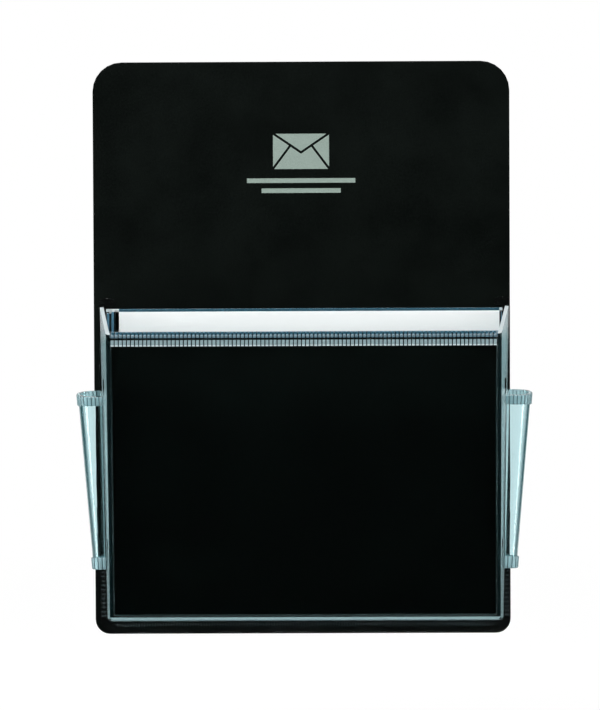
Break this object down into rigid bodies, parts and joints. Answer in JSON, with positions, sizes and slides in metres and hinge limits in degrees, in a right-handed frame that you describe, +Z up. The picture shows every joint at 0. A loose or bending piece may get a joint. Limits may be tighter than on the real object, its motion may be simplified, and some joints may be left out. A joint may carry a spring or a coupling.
{
  "type": "magnetic document pocket",
  "caption": "Wall pocket with a black magnet-backed sheet, a clear open-topped tray, a label rail with a card in its mouth, and clear tapered pen tubes hooked on its sides.",
  "frame": {"origin": "centre of the middle magnet strip's back face, which lies on the steel", "axes": "+Z up, +X to the viewer's right, +Y out of the back into the steel, so the pocket's front faces -Y"},
  "size_m": [0.2182, 0.036, 0.275],
  "materials": {
    "black_sheet": "matte, fine grained vinyl sheet",
    "clear_plastic": "clear, glossy, faint blue-green tint",
    "magnet_rubber": "matte, calendered",
    "adhesive_tape": "satin double-sided tape",
    "white_card": "uncoated white card"
  },
  "bodies": {
    "pocket": {"back_plate": "black_sheet", "magnet_strip_top": "magnet_rubber", "magnet_strip_middle": "magnet_rubber", "magnet_strip_bottom": "magnet_rubber", "magnet_tape_top": "adhesive_tape", "magnet_tape_middle": "adhesive_tape", "magnet_tape_bottom": "adhesive_tape", "pocket_tray": "clear_plastic", "mouth_strip": "clear_plastic", "label_rail": "clear_plastic", "rail_tape": "adhesive_tape"},
    "label_card": {"index_card": "white_card"},
    "left_pen_holder": {"pen_tube_left": "clear_plastic", "tube_collar_left": "clear_plastic", "tube_foot_left": "clear_plastic"},
    "right_pen_holder": {"pen_tube_right": "clear_plastic", "tube_collar_right": "clear_plastic", "tube_foot_right": "clear_plastic"}
  },
  "joints": [
    {"name": "card_lift", "type": "slide", "parent": "pocket", "child": "label_card", "axis": [0, 0, 1], "range_m": [0, 0.02]},
    {"name": "left_holder_lift", "type": "slide", "parent": "pocket", "child": "left_pen_holder", "axis": [-0.0188, -0.0028, 0.9998], "range_m": [0, 0.008]},
    {"name": "right_holder_lift", "type": "slide", "parent": "pocket", "child": "right_pen_holder", "axis": [0.0188, -0.0028, 0.9998], "range_m": [0, 0.008]}
  ]
}
